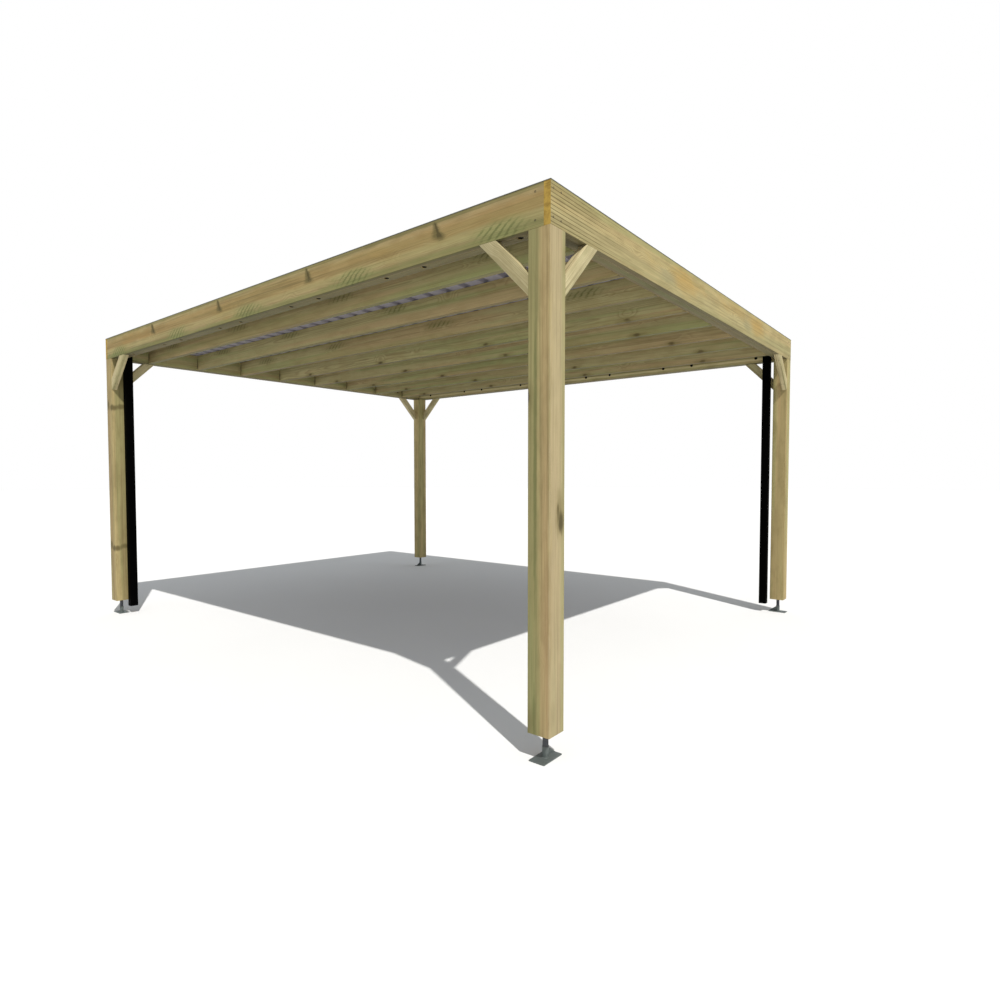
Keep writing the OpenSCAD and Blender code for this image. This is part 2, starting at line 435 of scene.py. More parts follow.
def box_between(bm, low, high):
    """Adds a cube stretched between two corners, and returns its vertices."""
    made = bmesh.ops.create_cube(bm, size=1.0)["verts"]
    bmesh.ops.scale(bm, vec=high - low, verts=made)
    bmesh.ops.translate(bm, vec=(low + high) / 2, verts=made)
    return made


print("the ring covers", round(4 * HALF_X * HALF_Y, 1), "square metres")


# %% Choose a pith
def board_pith(low, high, axis, dice):
    """A pith line beside a flat board, or off the middle of a square one."""
    centre, size = (low + high) / 2, high - low
    across = [i for i in range(3) if i != axis]
    thin, wide = sorted(across, key=lambda i: size[i])
    pith = centre.copy()
    if size[wide] < size[thin] * 1.3:
        turn = dice.uniform(0, 2 * math.pi)
        pith[thin] += 0.62 * size[thin] * math.cos(turn)
        pith[wide] += 0.62 * size[wide] * math.sin(turn)
    else:
        pith[thin] += dice.choice([-1, 1]) * dice.uniform(0.035, 0.07)
        pith[wide] += dice.uniform(-0.25, 0.25) * size[wide]
    return pith


print("every board draws its pith from a source of its own")

# %% [markdown]
# ## The looks of the different timbers
# All the wood is the same treated pine, but no two parts are alike. The posts
# and fascia boards see the weather and show long green, pink and amber
# streaks, the braces are the palest, and the beams and joists are duller. The
# fascia boards, beams and joists get painted shade on their undersides. Each
# look is a set of arguments for the timber finish.

# %% Recipes for the timbers
LOOKS = {
    "post": dict(pale="C2AF7C", dark="9A8857", green=0.40, pink=0.28, knot_amount=0.3,
                 knot_spacing=0.7, lines=0.25, late_share=0.45),
    "fascia": dict(pale="C7B480", dark="938252", green=0.35, pink=0.20, amber=0.30,
                   knot_amount=0.0, lines=0.32, shade=0.36),
    "brace": dict(pale="C8BC94", dark="A39468", green=0.30, pink=0.12, knot_amount=0.0,
                  lines=0.45, level=1.06),
    "beam": dict(pale="9F956A", dark="786D46", green=0.5, pink=0.25, knot_amount=0.4,
                 level=1.2, shade=0.38),
    "joist": dict(pale="9F966B", dark="756A45", green=0.55, pink=0.28, knot_amount=0.0,
                  level=1.22, shade=0.46),
}
# painted light and shade: each board's brightness is raised or lowered one by one, standing in for
# the light it gets
PAINTED_LIGHT_LEVELS = {
    "post_front_right": 0.80, "post_front_left": 0.82,
    "post_back_right": 0.96, "post_back_left": 1.06,
    "fascia_front": 0.74, "fascia_right": 0.85, "fascia_left": 0.87, "fascia_back": 0.80,
    "joist_1": 1.25, "beam_front": 1.12,
}
print(len(LOOKS), "looks and", len(PAINTED_LIGHT_LEVELS), "boards with a level of their own")

# %% [markdown]
# ## Where the stains and painted shade lie
# The functions below list the stains and painted shade of one board each, as a
# colour, a strength and a shape. A fascia board has long strips with branch knots
# along its top, a post has streaks up its height, and painted shade darkens a
# joist's ends and the corner ends of the side beams.

# %% Stains on the fascia boards
# longer than any board, for a stain that runs its whole length
WHOLE = 9


def long_fascia_stains(side):
    """Long strips, branch knots and curly grain on the front or back board."""
    y, dice = side * HALF_Y, chance("fascia stains")
    stains = [("858650", 0.60, patch((0, y, RING_TOP), (WHOLE, 0.03, 0.024))),
              ("B08A4C", 0.45, patch((0, y, RING_BOTTOM + 0.115), (WHOLE, 0.03, 0.050))),
              ("C3B57A", 0.50, patch((0, y, RING_BOTTOM + 0.062), (WHOLE, 0.03, 0.026))),
              ("8E9758", 0.50, patch((0, y, RING_BOTTOM + 0.008), (WHOLE, 0.03, 0.026)))]
    for number in range(-2, 2):
        x = -side * (0.700 + number * 1.097 + dice.uniform(-0.01, 0.01))
        top = (x, y, RING_TOP - 0.008)
        stains += [("6A6238", 0.75, spike(top, 0.095, 0.042, -side * 0.030)),
                   ("473D20", 0.65, spike(top, 0.085, 0.014, -side * 0.036))]
    for number in range(-2, 3):
        x = -side * (0.035 + number * 1.1 + dice.uniform(-0.02, 0.02))
        stains += [("8C9A5C", 0.40, patch((x, y, RING_BOTTOM + 0.036), (0.20, 0.03, 0.060))),
                   ("626A38", 0.60, curls((x, y, RING_BOTTOM + 0.036), (0.17, 0.03, 0.050)))]
    return stains


def short_fascia_stains(side):
    """Amber and grey-green patches on a side board, and the fine lines of its front end."""
    x = side * HALF_X
    stains = [("ABA670", 0.30, patch((x, 0, RING_TOP), (0.03, WHOLE, 0.030))),
              ("B9B080", 0.45, patch((x, 0, RING_BOTTOM + 0.05), (0.03, WHOLE, 0.060)))]
    for y in (-0.53, 0.98):
        stains += [("BE9A52", 0.50, patch((x, y, RING_BOTTOM + 0.107), (0.03, 0.20, 0.085))),
                   ("A09A74", 0.50, patch((x, y - 0.27, RING_BOTTOM + 0.080), (0.03, 0.12, 0.04)))]
    for step in range(10):
        height = RING_BOTTOM + 0.014 + step * 0.0178
        size = (0.03, 0.70 - 0.04 * (step % 3), 0.0026)
        stains.append(("54471F", 0.70, patch((x, -HALF_Y, height), size)))
    return stains


STAINS_AND_SHADE = {"fascia_front": long_fascia_stains(-1), "fascia_back": long_fascia_stains(1),
          "fascia_left": short_fascia_stains(-1), "fascia_right": short_fascia_stains(1)}
print({node: len(stains) for node, stains in STAINS_AND_SHADE.items()})


# %% Stains on the posts
def post_stains(corner):
    """Streaks and a long knot on the near post, and two whorls of knots on its neighbour."""
    x, y = CORNERS[corner][0] * HALF_X, CORNERS[corner][1] * HALF_Y
    if corner == "front_right":
        return [("9C9D68", 0.55, patch((x - 0.108, y, 1.2), (0.055, 0.05, WHOLE))),
                ("626A38", 0.60, patch((x - 0.080, y, 1.35), (0.010, 0.05, 0.75))),
                ("626A38", 0.55, patch((x - 0.083, y, 0.19), (0.010, 0.05, 0.17))),
                ("B08C68", 0.25, patch((x - 0.026, y, 1.2), (0.030, 0.05, WHOLE))),
                ("C6B692", 0.55, patch((x, y + 0.055, 1.2), (0.010, 0.075, WHOLE))),
                ("AEAC78", 0.50, patch((x, y + 0.115, 1.6), (0.05, 0.030, WHOLE))),
                ("887B4C", 0.60, patch((x, -1.945, 1.12), (0.02, 0.040, 0.13))),
                ("4D4323", 0.85, patch((x, -1.936, 1.085), (0.02, 0.026, 0.060))),
                ("5A4E2A", 0.75, patch((x, -1.958, 1.140), (0.02, 0.012, 0.050)))]
    if corner == "front_left":
        stains = []
        for height in (1.94, 0.63):
            outer = patch((x + 0.03, y, height + 0.015), (0.035, 0.05, 0.045))
            heart = patch((x + 0.10, y + 0.01, height - 0.010), (0.050, 0.06, 0.032))
            inner = patch((x + 0.12, y + 0.08, height + 0.004), (0.050, 0.05, 0.026))
            stains += [("6B6038", 0.75, outer), ("574C29", 0.80, heart), ("665B34", 0.75, inner)]
        return stains
    return []


STAINS_AND_SHADE.update({"post_" + corner: post_stains(corner) for corner in CORNERS})
print("stains on the posts:", [len(STAINS_AND_SHADE["post_" + corner]) for corner in CORNERS])


# %% Stains and painted shade on the beams and joists
def corner_painted_shade(side):
    """Painted shade under both ends of a side beam, where the corner by the post is in shade."""
    size = (0.2, 0.22, 0.03)
    return [("2B2617", 0.60, patch((side * HALF_X, end * (HALF_Y - 0.16), RING_BOTTOM), size))
            for end in (-1, 1)]


def beam_stains(side):
    """A pale strip low on the beam's inner face, with a thin dark line above it."""
    inner = side * (HALF_Y - RING_WIDE)
    return [("C2B488", 0.85, patch((0, inner, RING_BOTTOM + 0.032), (WHOLE, 0.012, 0.014))),
            ("5C5130", 0.50, patch((0, inner, RING_BOTTOM + 0.052), (WHOLE, 0.012, 0.008)))]


def joist_stains_and_end_shade(number, node):
    """Painted shade at both ends, where the joist meets the beams; curly grain high on the near
    joists and knots low on the far ones.
    """
    low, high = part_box(node)
    middle = (low.y + high.y) / 2
    # painted shade: both ends of the joist are darkened where it meets the beams
    stains = [("423922", 0.75, patch((end, middle, low.z + 0.060), (0.030, 0.05, 0.075)))
              for end in (low.x, high.x)]
    for x in (-1.885, -0.73, 0.60, 1.90):
        if number < 4:
            place = (x, middle, high.z - 0.025 - 0.020 * (number % 2))
            stains += [("66683A", 0.50, patch(place, (0.20, 0.05, 0.040))),
                       ("4A4826", 0.65, curls(place, (0.17, 0.05, 0.036)))]
        else:
            place = (x + 0.09 * math.sin(number * 2.1), middle, low.z + 0.012)
            stains += [("6B6038", 0.60, patch(place, (0.11, 0.05, 0.026))),
                       ("40351E", 0.85, patch(place, (0.035, 0.05, 0.016)))]
    return stains


# the side beams' corner entries are painted shade
STAINS_AND_SHADE.update({"beam_left": corner_painted_shade(-1), "beam_right": corner_painted_shade(1),
               "beam_front": beam_stains(-1), "beam_back": beam_stains(1)})
STAINS_AND_SHADE.update({node: joist_stains_and_end_shade(number, node) for number, node in enumerate(JOISTS, 1)})
print(sum(len(stains) for stains in STAINS_AND_SHADE.values()), "stains on", len(STAINS_AND_SHADE), "boards")


# %% Make one board
def recipe(node, look):
    """The look of one board, with its own level of painted light and shade, and its stains and
    painted shade.
    """
    own = dict(LOOKS[look], stains=STAINS_AND_SHADE.get(node, ()))
    if node in PAINTED_LIGHT_LEVELS:
        own["level"] = PAINTED_LIGHT_LEVELS[node]
    return own


EDGE_ROUND = 3 * MM


def board(node, look, slot):
    """One straight board in its node's box."""
    low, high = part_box(node)
    size = high - low
    axis = max(range(3), key=lambda i: size[i])
    dice = chance(node)
    bm = bmesh.new()
    box_between(bm, low, high)
    round_edges(bm, long_edges(bm, AXES[axis]), EDGE_ROUND)
    pith = board_pith(low, high, axis, dice)
    finish = timber("pine_" + node, AXES[axis], pith, dice.uniform(0, 60), **recipe(node, look))
    return keep(bm, "board_" + node, finish, slot, node)


print("edges rounded to", round(EDGE_ROUND / MM), "mm")

# %% Make the posts, the fascia boards, the beams and the joists
boards = {}
for corner in CORNERS:
    boards["post_" + corner] = board("post_" + corner, "post", "post_timber")
for side in ("front", "back", "left", "right"):
    boards["fascia_" + side] = board("fascia_" + side, "fascia", "fascia_timber")
    boards["beam_" + side] = board("beam_" + side, "beam", "joist_timber")
for name in JOISTS:
    boards[name] = board(name, "joist", "joist_timber")
longest = max(piece.dimensions.x for piece in boards.values())
print(len(boards), "boards, the longest", round(longest, 3), "m")

# %% [markdown]
# ## Knee braces
# A knee brace is a short board at forty-five degrees with both ends sawn to
# fit the post and the frame. One flat outline, pushed out to the board's
# thickness, gives it, and its long edges are rounded as on every planed board.

# %% Make the knee braces
BRACE_WIDTH = 70 * MM


def brace_outline(along, low, high, side):
    """The brace's four corners in its own plane, from its node's box."""
    reach = high.z - low.z
    inner = reach - BRACE_WIDTH * math.sqrt(2)
    start, step = (low[along], 1) if side < 0 else (high[along], -1)
    return [(start, low.z), (start + step * reach, high.z),
            (start + step * inner, high.z), (start, high.z - inner)]


def knee_brace(node, along, side):
    low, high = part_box(node)
    across = 1 - along
    bm = bmesh.new()
    corners = []
    for distance, height in brace_outline(along, low, high, side):
        point = Vector((0, 0, height))
        point[along], point[across] = distance, low[across]
        corners.append(bm.verts.new(point))
    face = bm.faces.new(corners)
    pushed = bmesh.ops.extrude_face_region(bm, geom=[face])["geom"]
    thick = Vector()
    thick[across] = high[across] - low[across]
    bmesh.ops.translate(bm, vec=thick, verts=verts_in(pushed))
    grain = Vector((0, 0, 1))
    grain[along] = -side
    grain.normalize()
    bmesh.ops.recalc_face_normals(bm, faces=bm.faces)
    round_edges(bm, long_edges(bm, grain), 2.5 * MM)
    dice = chance(node)
    pith = (low + high) / 2
    pith[across] += dice.choice([-1, 1]) * 0.05
    finish = timber("pine_" + node, grain, pith, dice.uniform(0, 60), **LOOKS["brace"])
    return keep(bm, "board_" + node, finish, "brace_timber", node)


braces = []
for corner, (side_x, side_y) in CORNERS.items():
    braces.append(knee_brace("long_brace_" + corner, 0, side_x))
    braces.append(knee_brace("short_brace_" + corner, 1, side_y))
print(len(braces), "knee braces")

# %% [markdown]
# ## Bored holes in the ring
# The front beam is bored from below and the back beam from its inner face, in
# pairs, for the fixings that hold the ring together. One boolean of short
# cylinders cuts each row. A near-black cap, painted shade for the dark inside
# of the hole, closes every hole just inside the wood, so its rim stays a real edge.

# %% Bore the holes
HOLE_RADIUS, HOLE_DEPTH = 15.5 * MM, 22 * MM
# the first pair's middle from the right end, the pitch, and half a pair's gap
FRONT_HOLES, BACK_HOLES = (0.053, 0.9205, 0.147), (0.137, 0.9405, 0.153)
FRONT_INSET, BACK_HEIGHT = 0.053, 0.045


def hole_row(start, pitch, half_gap):
    """Distances from the right end of the frame at which the holes sit, in pairs."""
    places = [start + pair * pitch + side * half_gap for pair in range(6) for side in (-1, 1)]
    return [p for p in places if 0.15 < p < 2 * HALF_X - 0.15]


def bore(piece, points, inward):
    """Cuts holes into a piece along a direction, and leaves no modifier on it."""
    bm = bmesh.new()
    for point in points:
        bmesh.ops.create_cone(bm, cap_ends=True, segments=24, radius1=HOLE_RADIUS,
                              radius2=HOLE_RADIUS, depth=2 * HOLE_DEPTH,
                              matrix=aimed(point, inward))
    cutter = in_scene("cutter", mesh_of(bm, "cutter"))
    cut = piece.modifiers.new("holes", "BOOLEAN")
    cut.object, cut.operation, cut.solver = cutter, "DIFFERENCE", "EXACT"
    solved = piece.evaluated_get(bpy.context.evaluated_depsgraph_get())
    shaped = bpy.data.meshes.new_from_object(solved)
    piece.modifiers.clear()
    piece.data = shaped
    shaped.set_sharp_from_angle(angle=SHARP_ANGLE)
    bpy.data.objects.remove(cutter)


inner_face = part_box("beam_back")[0].y
front_row = [Vector((HALF_X - d, -HALF_Y + FRONT_INSET, RING_BOTTOM))
             for d in hole_row(*FRONT_HOLES)]
back_row = [Vector((HALF_X - d, inner_face, RING_BOTTOM + BACK_HEIGHT))
            for d in hole_row(*BACK_HOLES)]
bore(boards["beam_front"], front_row, Vector((0, 0, 1)))
bore(boards["beam_back"], back_row, Vector((0, 1, 0)))
print(len(front_row), "holes in the front beam and", len(back_row), "in the back one")

# %% [markdown]
# ## Metal finishes
# The feet are hot-dip galvanised and have gone dull, the edge trim and the
# roof sheets are coated, and the screws are plated steel. All of these are a
# plain colour broken up by a fine mottle, with the roughness following it.

# %% Recipe for metal and plastic
def coated(name, base, worn, mottle=60.0, amount=0.5, rough=0.45, spread=0.15, metallic=0.0,
           specular=0.5, grain=0.15):
    """A base colour with a mottle of a second one, at a scale given by mottle."""
    f = Finish(name, Metallic=metallic, Specular_IOR_Level=specular)
    place = f.node("ShaderNodeTexCoord", out="Object")
    cloud = noise(f, place, scale=mottle, detail=4.0, rough=0.65)
    fine = noise(f, place, scale=mottle * 9, detail=2.0)
    broad = noise(f, place, scale=mottle * 0.08, detail=3.0)
    mask = soft_step(cloud * 0.6 + broad * 0.4, 0.40, 0.62)
    tone = mix(f, mask * amount, colour(base), colour(worn))
    return f.surface(Base_Color=tone, Roughness=rough + (cloud - 0.5) * spread,
                     Normal=bump(f, fine * 0.6 + cloud, grain, 0.3 * MM))


foot_steel = coated("foot_steel", "5F6664", "747C7A", mottle=90, rough=0.5, metallic=0.35)
screw_steel = coated("screw_steel", "4A4C52", "686B70", mottle=160, rough=0.42, metallic=0.5)
weld_steel = coated("weld_steel", "5E6360", "7C827F", mottle=300, rough=0.55, metallic=0.35,
                    grain=0.6)
head_steel = coated("head_steel", "2B271D", "453F30", mottle=400, rough=0.5, metallic=0.4)
bright_steel = coated("bright_steel", "8A8C8E", "A7A9AB", mottle=250, rough=0.35, metallic=0.7)
trim_metal = coated("trim_metal", "63635C", "74756E", mottle=30, rough=0.4, metallic=0.3)
gutter_metal = coated("gutter_metal", "8A8D90", "A0A3A6", mottle=25, rough=0.4, metallic=0.6)
pipe_plastic = coated("pipe_plastic", "020202", "050505", mottle=12, rough=0.5, spread=0.1,
                      specular=0.01)
washer_rubber = coated("washer_rubber", "1B1B1B", "262626", mottle=200, rough=0.8, specular=0.2)
print("nine finishes of metal, plastic and rubber")

# %% [markdown]
# ## Turned parts
# Anything round about an upright axis is a profile that is spun: the sleeve,
# the weld bead, the jack screw's core and, with a rise at each step, the
# thread itself. Spin with a rise makes the helix in one call.

# %% Helpers for turned and drawn parts
def turned(bm, outline, centre, closed=True, steps=32):
    """Spins (radius, height) points round an upright axis through centre."""
    verts = [bm.verts.new(centre + Vector((radius, 0, height))) for radius, height in outline]
    pairs = list(zip(verts, verts[1:])) + ([(verts[-1], verts[0])] if closed else [])
    edges = [bm.edges.new(pair) for pair in pairs]
    bmesh.ops.spin(bm, geom=verts + edges, cent=centre, axis=(0, 0, 1), dvec=(0, 0, 0),
                   angle=2 * math.pi, steps=steps, use_merge=True, use_duplicate=False)


def pushed_out(bm, points, vec):
    """A flat outline pushed out along a vector into a solid."""
    face = bm.faces.new([bm.verts.new(p) for p in points])
    made = bmesh.ops.extrude_face_region(bm, geom=[face])["geom"]
    bmesh.ops.translate(bm, vec=vec, verts=verts_in(made))


def rod(bm, start, end, radius, segments=10):
    """A round bar from one point to another."""
    line = end - start
    bmesh.ops.create_cone(bm, cap_ends=True, segments=segments, radius1=radius, radius2=radius,
                          depth=line.length, matrix=aimed((start + end) / 2, line))


def tidy(bm):
    """Merges doubles and turns every face outward."""
    bmesh.ops.remove_doubles(bm, verts=bm.verts, dist=1e-6)
    bmesh.ops.recalc_face_normals(bm, faces=bm.faces)


print("helpers: turned, pushed_out, rod and tidy")

# %% [markdown]
# ## Steel feet
# Each foot is a plate with a welded sleeve and one gusset towards the inside
# of the carport. The plate's corners are rounded and its edges broken, and a
# bead of weld runs round the sleeve and along both sides of the gusset.

# %% Make the feet
PLATE_T, GUSSET_T, GUSSET_TOP = 5 * MM, 6 * MM, 48 * MM
SLEEVE_R, BORE_R, SLEEVE_TOP = 16 * MM, 14.3 * MM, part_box("foot_front_left")[1].z
BEAD, FILLET = 2.2 * MM, 1.8 * MM


def foot_frame(corner):
    """The foot's centre on the ground, and its inward direction along the plate."""
    low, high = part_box("foot_" + corner)
    centre = Vector(((low.x + high.x) / 2, (low.y + high.y) / 2, 0))
    along = 0 if high.x - low.x > high.y - low.y else 1
    inward = Vector()
    inward[along] = -CORNERS[corner][along]
    return low, high, centre, inward


def make_foot(corner):
    low, high, centre, inward = foot_frame(corner)
    bm = bmesh.new()
    box_between(bm, low, Vector((high.x, high.y, PLATE_T)))
    round_edges(bm, long_edges(bm, AXES[2]), 5 * MM, 4)
    rims = [e for e in bm.edges if abs(e.verts[0].co.z - e.verts[1].co.z) < 1e-6]
    round_edges(bm, rims, 0.7 * MM, 2)
    turned(bm, [(BORE_R, PLATE_T), (SLEEVE_R, PLATE_T), (SLEEVE_R, SLEEVE_TOP - 1 * MM),
                (SLEEVE_R - 1 * MM, SLEEVE_TOP), (BORE_R, SLEEVE_TOP)], centre)
    side = Vector((-inward.y, inward.x, 0)) * GUSSET_T
    start = centre - side / 2
    reach = max(high.x - low.x, high.y - low.y) / 2
    outline = [(SLEEVE_R - 1 * MM, PLATE_T), (reach - 1 * MM, PLATE_T),
               (reach - 1 * MM, PLATE_T + 2 * MM), (SLEEVE_R, GUSSET_TOP),
               (SLEEVE_R - 1 * MM, GUSSET_TOP)]
    pushed_out(bm, [start + inward * d + Vector((0, 0, h)) for d, h in outline], side)
    tidy(bm)
    foot = keep(bm, "foot_steel_" + corner, foot_steel, "foot_steel", "foot_" + corner)
    bm = bmesh.new()
    ring = [(SLEEVE_R + BEAD * math.cos(t) * 0.9, PLATE_T + BEAD * math.sin(t))
            for t in [math.radians(a) for a in range(-20, 150, 24)]]
    turned(bm, ring, centre)
    for edge in (-0.5, 0.5):
        floor_line = centre + side * edge + Vector((0, 0, PLATE_T))
        rod(bm, floor_line + inward * SLEEVE_R, floor_line + inward * (reach - 4 * MM), FILLET, 8)
        root = floor_line + inward * (SLEEVE_R - 0.5 * MM)
        rod(bm, root, root + Vector((0, 0, GUSSET_TOP - 2 * MM - PLATE_T)), FILLET, 8)
    tidy(bm)
    keep(bm, "foot_weld_" + corner, weld_steel, "foot_steel")
    return foot


feet = [make_foot(corner) for corner in CORNERS]
print(len(feet), "feet, each with", len(feet[0].data.polygons), "faces")

# %% [markdown]
# ## Jack screws
# The post is lifted on a threaded rod that turns in the sleeve. Its thread is
# a small trapezium, spun with a rise of one pitch to a turn. Only the part
# that shows has a thread; the rest is plain rod inside the post and the foot.

# %% Make the jack screws
PITCH, THREAD_DEPTH, THREAD_STEPS = 4 * MM, 1 * MM, 20


def make_jack_screw(corner):
    low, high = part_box("jack_screw_" + corner)
    centre = Vector(((low.x + high.x) / 2, (low.y + high.y) / 2, 0))
    radius = (high.x - low.x) / 2
    core = radius - THREAD_DEPTH
    bm = bmesh.new()
    rod_outline = [(0, low.z), (core, low.z), (core, high.z), (0, high.z)]
    turned(bm, rod_outline, centre, closed=False, steps=24)
    first, last = SLEEVE_TOP - 6 * MM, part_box("post_" + corner)[0].z
    ridge = [(core - 0.3 * MM, -1.5 * MM), (radius, -0.6 * MM),
             (radius, 0.6 * MM), (core - 0.3 * MM, 1.5 * MM)]
    verts = [bm.verts.new(centre + Vector((r, 0, first + h))) for r, h in ridge]
    edges = [bm.edges.new(pair) for pair in zip(verts, verts[1:])]
    turns = int((last - first) / PITCH)
    bmesh.ops.spin(bm, geom=verts + edges, cent=centre, axis=(0, 0, 1),
                   dvec=(0, 0, PITCH / THREAD_STEPS), angle=2 * math.pi * turns,
                   steps=THREAD_STEPS * turns, use_merge=False)
    tidy(bm)
    return keep(bm, "thread_" + corner, screw_steel, "screw_steel", "jack_screw_" + corner)


threads = [make_jack_screw(corner) for corner in CORNERS]
print(len(threads), "jack screws with", len(threads[0].data.polygons), "faces each")

# %% [markdown]
# ## Screws at the corners of the ring
# Each side board is screwed into the end of the front or back board and into
# the post behind it. The heads are countersunk, with a star-shaped recess
# that is simply a small pit here.

# %% Make the corner screws
def screw_head(bm, point, outward, radius=5.2 * MM, lift=0.4 * MM):
    """A flat screw head with a pit, facing outward from a point on a surface."""
    made = bmesh.ops.create_cone(bm, cap_ends=True, segments=12, radius1=radius,
                                 radius2=radius * 0.85, depth=lift * 2,
                                 matrix=aimed(point, outward))["verts"]
    faces = {face for vert in made for face in vert.link_faces}
    top = max(faces, key=lambda face: face.calc_center_median().dot(outward))
    bmesh.ops.inset_region(bm, faces=[top], thickness=radius * 0.35)
    pit = bmesh.ops.extrude_discrete_faces(bm, faces=[top])["faces"]
    bmesh.ops.translate(bm, vec=-outward * lift * 1.4, verts=pit[0].verts)
    bmesh.ops.scale(bm, vec=(0.9,) * 3, verts=pit[0].verts, space=Matrix.Translation(-point))


SCREW_HEIGHTS = (RING_BOTTOM + 0.035, RING_BOTTOM + 0.159)
IN_BOARD_END, IN_POST = 0.021, 0.082
bm = bmesh.new()
heads = 0
for side_x, side_y in CORNERS.values():
    for height in SCREW_HEIGHTS:
        face_y = Vector((side_x * (HALF_X - IN_POST), side_y * HALF_Y, height))
        screw_head(bm, face_y, Vector((0, side_y, 0)))
        for inset in (IN_BOARD_END, IN_POST):
            face_x = Vector((side_x * HALF_X, side_y * (HALF_Y - inset), height))
            screw_head(bm, face_x, Vector((side_x, 0, 0)))
        heads += 3
keep(bm, "ring_screws", head_steel, "screw_steel")
print(heads, "corner screws")

# %% [markdown]
# ## Caps and brace screws
# A cap is the same low turned head, as wide as its hole, so one helper makes
# both. Every brace has two pairs of screws on its sloping underside.

# %% Close the bored holes with near-black caps of painted shade
CAP_RADIUS, CAP_DEPTH, CAP_LIFT = HOLE_RADIUS - 0.5 * MM, 1.5 * MM, 1 * MM
bm = bmesh.new()
for row, outward in ((front_row, Vector((0, 0, -1))), (back_row, Vector((0, -1, 0)))):
    for point in row:
        screw_head(bm, point - outward * CAP_DEPTH, outward, CAP_RADIUS, CAP_LIFT)
# painted shade: near-black caps stand in for the dark inside of the holes
keep(bm, "painted_shade_hole_caps", pipe_plastic, "pipe_plastic")
print(len(front_row) + len(back_row), "caps in the bored holes")

# %% Make the brace screws
BRACE_SCREW_RADIUS = 3.6 * MM
bm = bmesh.new()
for corner, (side_x, side_y) in CORNERS.items():
    for kind, along, side in (("long", 0, side_x), ("short", 1, side_y)):
        low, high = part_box(f"{kind}_brace_{corner}")
        across = 1 - along
        for share in (0.17, 0.83):
            for offset in (0.3, 0.7):
                run = share * (high.z - low.z)
                point = Vector((0, 0, low.z + run))
                point[along] = low[along] + run if side < 0 else high[along] - run
                point[across] = low[across] + offset * (high[across] - low[across])
                outward = Vector((0, 0, -1))
                outward[along] = -side
                screw_head(bm, point, outward.normalized(), BRACE_SCREW_RADIUS)
keep(bm, "brace_screws", head_steel, "screw_steel")
print("brace screws:", 4 * len(CORNERS) * 2)

# %% [markdown]
# ## Downpipes
# A square downpipe is drawn plastic with rounded corners and a thin wall. The
# shape is a box without ends, rounded along its upright edges, and solidify
# gives it the wall. A short socket under the gutter takes its upper end.

# %% Make the downpipes
PIPE_WALL, SOCKET_WALL, SOCKET_LENGTH = 2.5 * MM, 1.3 * MM, 45 * MM


def square_tube(low, high, radius, wall):
    """An upright square tube with round corners, open at both ends."""
    bm = bmesh.new()
    box_between(bm, low, high)
    ends = [f for f in bm.faces if abs(f.normal.z) > 0.9]
    bmesh.ops.delete(bm, geom=ends, context="FACES_ONLY")
    round_edges(bm, long_edges(bm, AXES[2]), radius, 4)
    bmesh.ops.recalc_face_normals(bm, faces=bm.faces)
    bmesh.ops.solidify(bm, geom=list(bm.faces), thickness=wall)
    tidy(bm)
    return bm


def make_downpipe(corner):
    node = "downpipe_" + corner
    low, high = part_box(node)
    bm = square_tube(low, high, 6 * MM, PIPE_WALL)
    pipe = keep(bm, "pipe_" + corner, pipe_plastic, "pipe_plastic", node)
    wider = Vector((1.4 * MM, 1.4 * MM, 0))
    socket_low = Vector((low.x, low.y, high.z - SOCKET_LENGTH)) - wider
    bm = square_tube(socket_low, high + wider, 7 * MM, SOCKET_WALL)
    keep(bm, "pipe_socket_" + corner, pipe_plastic, "pipe_plastic")
    return pipe


for corner in ("front_left", "back_right"):
    pipe = make_downpipe(corner)
    print("downpipe", corner, [round(d, 3) for d in pipe.dimensions])

# %% [markdown]
# ## Roof sheets
# The ribbed sheets in the frame already have the right section, so they only
# get their finish: a grey coating with a violet cast, a little chalky, with
# faint streaks along the ribs where rain runs off. Neighbouring sheets lap
# over one rib, so a thin cap over each seam shows the upper sheet's edge.

# %% Coat the roof sheets
def sheet_coating():
    f = Finish("sheet_coating", Metallic=0.15, Specular_IOR_Level=0.4)
    place = f.node("ShaderNodeTexCoord", out="Object")
    x, y, z = three_axes(f, place)
    streak = noise(f, vector(f, x * 26, y * 0.9, z * 12), detail=4.0, rough=0.6)
    cloud = noise(f, place, scale=7.0, detail=3.0)
    speck = noise(f, place, scale=420.0, detail=1.0)
    tone = mix(f, soft_step(streak, 0.45, 0.7) * 0.4, colour("908C96"), colour("77737E"))
    tone = mix(f, soft_step(cloud, 0.4, 0.7) * 0.3, tone, colour("9E9AA3"))
    return f.surface(Base_Color=tone, Roughness=0.42 + streak * 0.18,
                     Normal=bump(f, speck * 0.4 + cloud, 0.12, 0.4 * MM))


coating = sheet_coating()


def finish_node(name, finish):
    """Gives a frame node that stays in view its finish."""
    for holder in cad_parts[name].material_slots:
        holder.material = finish


for name in SHEETS:
    finish_node(name, coating)
for name in ("gutter_front", "gutter_back"):
    finish_node(name, gutter_metal)
print("coated", len(SHEETS), "sheets and 2 gutters")

# %% Lap the seams
SHEET_T, HALF_CROWN, SLOPE_RUN, RIBS = 1.5 * MM, 16 * MM, 14 * MM, 6
LAP_T, LAP_INSET = 0.8 * MM, 4 * MM
sheet_low, sheet_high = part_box(SHEETS[0])
rib_pitch = (sheet_high.x - sheet_low.x) / RIBS


